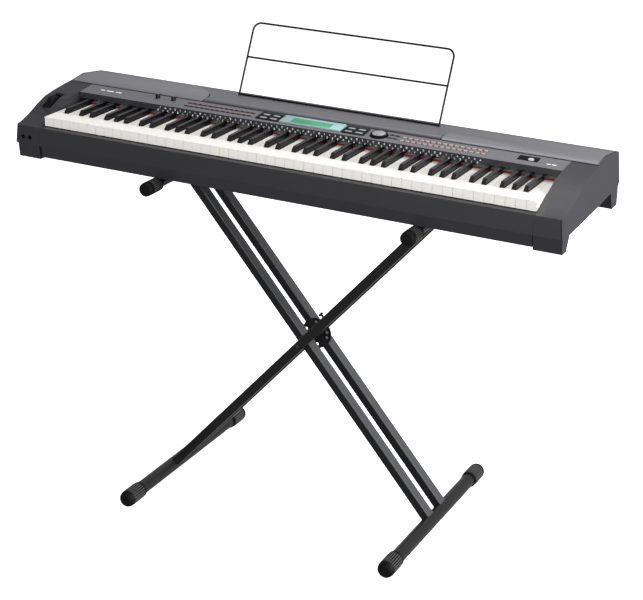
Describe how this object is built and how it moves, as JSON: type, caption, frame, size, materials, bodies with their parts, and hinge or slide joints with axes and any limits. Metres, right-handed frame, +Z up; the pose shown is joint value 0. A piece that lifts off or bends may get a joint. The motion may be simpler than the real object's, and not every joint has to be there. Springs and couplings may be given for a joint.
{
  "type": "digital piano on stand",
  "caption": "Full-size digital stage piano with sloped control panel, speakers and wire music rest, standing on a folding double-braced X stand.",
  "frame": {"origin": "on the floor, below the middle of the whole object's box", "axes": "+X to the player's right along the keyboard, +Y away from the player, +Z up"},
  "size_m": [1.36, 0.572, 1.0906],
  "materials": {
    "case_plastic": "fine-grained charcoal plastic",
    "cover_plastic": "satin grey plastic",
    "white_key": "polished ivory-white plastic",
    "black_key": "satin black plastic",
    "red_felt": "wool felt",
    "display": "clear window over a green display",
    "button_rubber": "matte silicone",
    "fitting_plastic": "satin black plastic",
    "speaker_black": "paper cone and black basket",
    "circuit_board": "solder-masked board",
    "zinc_steel": "zinc-plated steel",
    "rest_wire": "gloss black powder coat on steel wire",
    "stand_steel": "satin black powder coat on steel tube",
    "stand_rubber": "ribbed black rubber"
  },
  "bodies": {
    "pivot": {"pivot_bolt": "stand_steel", "pivot_nut": "stand_steel"},
    "frame_a": {"leg_a_front": "stand_steel", "leg_a_rear": "stand_steel", "top_bar_a": "stand_steel", "foot_tube_a": "stand_steel", "sleeve_a_front": "stand_rubber", "sleeve_a_rear": "stand_rubber", "foot_cap_a_front": "stand_rubber", "foot_cap_a_rear": "stand_rubber", "locking_plate": "stand_steel"},
    "frame_b": {"leg_b_front": "stand_steel", "leg_b_rear": "stand_steel", "top_bar_b": "stand_steel", "foot_tube_b": "stand_steel", "sleeve_b_front": "stand_rubber", "sleeve_b_rear": "stand_rubber", "foot_cap_b_front": "stand_rubber", "foot_cap_b_rear": "stand_rubber"},
    "lock_pull": {"lock_knob": "fitting_plastic"},
    "piano": {"bottom_case": "case_plastic", "front_rail": "case_plastic", "left_cheek": "case_plastic", "right_cheek": "case_plastic", "control_panel": "case_plastic", "left_speaker_cover": "cover_plastic", "right_speaker_cover": "cover_plastic", "rear_panel": "case_plastic", "key_frame": "zinc_steel", "felt_strip": "red_felt", "main_board": "circuit_board", "display_window": "display", "left_speaker": "speaker_black", "right_speaker": "speaker_black", "headphone_jacks": "fitting_plastic", "power_inlet": "fitting_plastic"},
    "rest": {"music_rest": "rest_wire"},
    "bender": {"pitch_wheel": "fitting_plastic"},
    "dial": {"data_dial": "fitting_plastic"},
    "volume": {"volume_knob": "fitting_plastic"},
    "tone": {"tone_knob": "fitting_plastic"},
    "power": {"power_button": "fitting_plastic"},
    "left_buttons": {"left_button_mat": "button_rubber"},
    "right_buttons": {"right_button_mat": "button_rubber"},
    "white_keys_low_body": {"white_keys_low": "white_key"},
    "white_keys_high_body": {"white_keys_high": "white_key"},
    "key_c_body": {"key_c": "white_key"},
    "key_d_body": {"key_d": "white_key"},
    "key_e_body": {"key_e": "white_key"},
    "key_f_body": {"key_f": "white_key"},
    "key_g_body": {"key_g": "white_key"},
    "key_a_body": {"key_a": "white_key"},
    "key_b_body": {"key_b": "white_key"},
    "black_keys_low_body": {"black_keys_low": "black_key"},
    "black_keys_high_body": {"black_keys_high": "black_key"},
    "key_c_sharp_body": {"key_c_sharp": "black_key"},
    "key_d_sharp_body": {"key_d_sharp": "black_key"},
    "key_f_sharp_body": {"key_f_sharp": "black_key"},
    "key_g_sharp_body": {"key_g_sharp": "black_key"},
    "key_a_sharp_body": {"key_a_sharp": "black_key"}
  },
  "joints": [
    {"name": "piano_lift", "type": "slide", "parent": "pivot", "child": "piano", "axis": [0, 0, 1], "range_m": [0, 0.2]},
    {"name": "frame_a_fold", "type": "hinge", "parent": "pivot", "child": "frame_a", "pos_m": [0.026, 0.004, 0.41], "axis": [0, 1, 0], "range_deg": [0, 36]},
    {"name": "frame_b_fold", "type": "hinge", "parent": "pivot", "child": "frame_b", "pos_m": [0.026, 0.004, 0.41], "axis": [0, 1, 0], "range_deg": [-36, 0]},
    {"name": "lock_knob_pull", "type": "slide", "parent": "frame_b", "child": "lock_pull", "axis": [-0.7536, 0, 0.6574], "range_m": [0, 0.008], "stiffness_N_per_m": 500, "springref_m": -0.006},
    {"name": "rest_lift", "type": "slide", "parent": "piano", "child": "rest", "axis": [0, 0.4195, 0.9078], "range_m": [0, 0.014]},
    {"name": "pitch_bend", "type": "hinge", "parent": "piano", "child": "bender", "pos_m": [-0.648, -0.052, 0.888], "axis": [1, 0, 0], "range_deg": [-30, 30], "stiffness_Nm_per_rad": 0.15},
    {"name": "dial_turn", "type": "hinge", "parent": "piano", "child": "dial", "pos_m": [0.169, 0.037, 0.92193], "axis": [0, -0.1174, 0.9931], "continuous": true},
    {"name": "volume_turn", "type": "hinge", "parent": "piano", "child": "volume", "pos_m": [-0.415, 0.046, 0.92299], "axis": [0, -0.1174, 0.9931], "range_deg": [-140, 140]},
    {"name": "tone_turn", "type": "hinge", "parent": "piano", "child": "tone", "pos_m": [-0.372, 0.047, 0.92311], "axis": [0, -0.1174, 0.9931], "range_deg": [-140, 140]},
    {"name": "power_press", "type": "slide", "parent": "piano", "child": "power", "axis": [0, 0.1174, -0.9931], "range_m": [0, 0.001], "stiffness_N_per_m": 900, "springref_m": -0.001},
    {"name": "left_buttons_press", "type": "slide", "parent": "piano", "child": "left_buttons", "axis": [0, 0.1174, -0.9931], "range_m": [0, 0.0012], "stiffness_N_per_m": 1500, "springref_m": -0.003},
    {"name": "right_buttons_press", "type": "slide", "parent": "piano", "child": "right_buttons", "axis": [0, 0.1174, -0.9931], "range_m": [0, 0.0012], "stiffness_N_per_m": 1500, "springref_m": -0.003},
    {"name": "white_keys_low_press", "type": "hinge", "parent": "piano", "child": "white_keys_low_body", "pos_m": [0, 0.068, 0.88], "axis": [1, 0, 0], "range_deg": [0, 2.7], "stiffness_Nm_per_rad": 30, "springref_deg": -20.05},
    {"name": "white_keys_high_press", "type": "hinge", "parent": "piano", "child": "white_keys_high_body", "pos_m": [0, 0.068, 0.88], "axis": [1, 0, 0], "range_deg": [0, 2.7], "stiffness_Nm_per_rad": 30, "springref_deg": -20.05},
    {"name": "key_c_press", "type": "hinge", "parent": "piano", "child": "key_c_body", "pos_m": [0, 0.068, 0.88], "axis": [1, 0, 0], "range_deg": [0, 2.7], "stiffness_Nm_per_rad": 1.2, "springref_deg": -20.05},
    {"name": "key_d_press", "type": "hinge", "parent": "piano", "child": "key_d_body", "pos_m": [0, 0.068, 0.88], "axis": [1, 0, 0], "range_deg": [0, 2.7], "stiffness_Nm_per_rad": 1.2, "springref_deg": -20.05},
    {"name": "key_e_press", "type": "hinge", "parent": "piano", "child": "key_e_body", "pos_m": [0, 0.068, 0.88], "axis": [1, 0, 0], "range_deg": [0, 2.7], "stiffness_Nm_per_rad": 1.2, "springref_deg": -20.05},
    {"name": "key_f_press", "type": "hinge", "parent": "piano", "child": "key_f_body", "pos_m": [0, 0.068, 0.88], "axis": [1, 0, 0], "range_deg": [0, 2.7], "stiffness_Nm_per_rad": 1.2, "springref_deg": -20.05},
    {"name": "key_g_press", "type": "hinge", "parent": "piano", "child": "key_g_body", "pos_m": [0, 0.068, 0.88], "axis": [1, 0, 0], "range_deg": [0, 2.7], "stiffness_Nm_per_rad": 1.2, "springref_deg": -20.05},
    {"name": "key_a_press", "type": "hinge", "parent": "piano", "child": "key_a_body", "pos_m": [0, 0.068, 0.88], "axis": [1, 0, 0], "range_deg": [0, 2.7], "stiffness_Nm_per_rad": 1.2, "springref_deg": -20.05},
    {"name": "key_b_press", "type": "hinge", "parent": "piano", "child": "key_b_body", "pos_m": [0, 0.068, 0.88], "axis": [1, 0, 0], "range_deg": [0, 2.7], "stiffness_Nm_per_rad": 1.2, "springref_deg": -20.05},
    {"name": "black_keys_low_press", "type": "hinge", "parent": "piano", "child": "black_keys_low_body", "pos_m": [0, 0.068, 0.88], "axis": [1, 0, 0], "range_deg": [0, 2.7], "stiffness_Nm_per_rad": 12, "springref_deg": -20.05},
    {"name": "black_keys_high_press", "type": "hinge", "parent": "piano", "child": "black_keys_high_body", "pos_m": [0, 0.068, 0.88], "axis": [1, 0, 0], "range_deg": [0, 2.7], "stiffness_Nm_per_rad": 12, "springref_deg": -20.05},
    {"name": "key_c_sharp_press", "type": "hinge", "parent": "piano", "child": "key_c_sharp_body", "pos_m": [0, 0.068, 0.88], "axis": [1, 0, 0], "range_deg": [0, 2.7], "stiffness_Nm_per_rad": 0.8, "springref_deg": -20.05},
    {"name": "key_d_sharp_press", "type": "hinge", "parent": "piano", "child": "key_d_sharp_body", "pos_m": [0, 0.068, 0.88], "axis": [1, 0, 0], "range_deg": [0, 2.7], "stiffness_Nm_per_rad": 0.8, "springref_deg": -20.05},
    {"name": "key_f_sharp_press", "type": "hinge", "parent": "piano", "child": "key_f_sharp_body", "pos_m": [0, 0.068, 0.88], "axis": [1, 0, 0], "range_deg": [0, 2.7], "stiffness_Nm_per_rad": 0.8, "springref_deg": -20.05},
    {"name": "key_g_sharp_press", "type": "hinge", "parent": "piano", "child": "key_g_sharp_body", "pos_m": [0, 0.068, 0.88], "axis": [1, 0, 0], "range_deg": [0, 2.7], "stiffness_Nm_per_rad": 0.8, "springref_deg": -20.05},
    {"name": "key_a_sharp_press", "type": "hinge", "parent": "piano", "child": "key_a_sharp_body", "pos_m": [0, 0.068, 0.88], "axis": [1, 0, 0], "range_deg": [0, 2.7], "stiffness_Nm_per_rad": 0.8, "springref_deg": -20.05}
  ],
  "couplings": [
    {"joint": "frame_a_fold", "follows": "piano_lift", "rad_per_m": 3.0882},
    {"joint": "frame_b_fold", "follows": "piano_lift", "rad_per_m": -3.0882}
  ]
}
